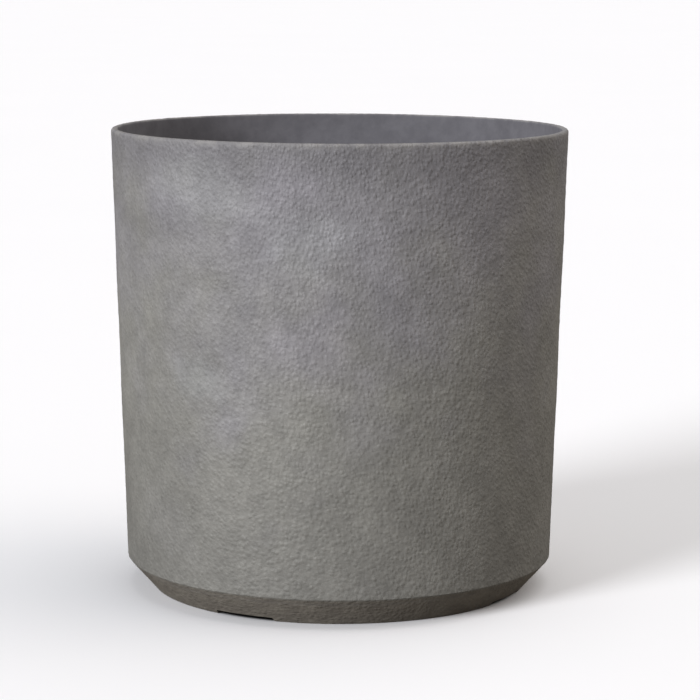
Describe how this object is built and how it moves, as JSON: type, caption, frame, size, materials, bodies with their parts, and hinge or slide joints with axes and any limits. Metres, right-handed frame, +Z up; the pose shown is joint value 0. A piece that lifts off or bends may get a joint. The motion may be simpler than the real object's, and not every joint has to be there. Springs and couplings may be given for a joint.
{
  "type": "round planter",
  "caption": "Rigid round planter pot with a straight tapering textured wall, thin lip, bevelled base, notched foot ring and lift-out rubber drain stoppers in a raised floor.",
  "frame": {"origin": "centre of the foot ring's underside, on the ground", "axes": "+Z up along the pot's axis, -Y towards the front that is seen first, +X to the right"},
  "size_m": [0.4198, 0.4198, 0.425],
  "materials": {
    "stone_effect_shell": "matte mineral-filled composite with a pebbled stone-effect coat outside, smoother and darker inside and on the base bevel",
    "drain_plug_rubber": "matte black moulded rubber"
  },
  "bodies": {
    "pot": {"planter_shell": "stone_effect_shell"},
    "plug_front_left": {"drain_plug_front_left": "drain_plug_rubber"},
    "plug_front_right": {"drain_plug_front_right": "drain_plug_rubber"},
    "plug_back_right": {"drain_plug_back_right": "drain_plug_rubber"},
    "plug_back_left": {"drain_plug_back_left": "drain_plug_rubber"}
  },
  "joints": [
    {"name": "plug_front_left_lift", "type": "slide", "parent": "pot", "child": "plug_front_left", "axis": [0, 0, 1], "range_m": [0, 0.43]},
    {"name": "plug_front_right_lift", "type": "slide", "parent": "pot", "child": "plug_front_right", "axis": [0, 0, 1], "range_m": [0, 0.43]},
    {"name": "plug_back_right_lift", "type": "slide", "parent": "pot", "child": "plug_back_right", "axis": [0, 0, 1], "range_m": [0, 0.43]},
    {"name": "plug_back_left_lift", "type": "slide", "parent": "pot", "child": "plug_back_left", "axis": [0, 0, 1], "range_m": [0, 0.43]}
  ]
}
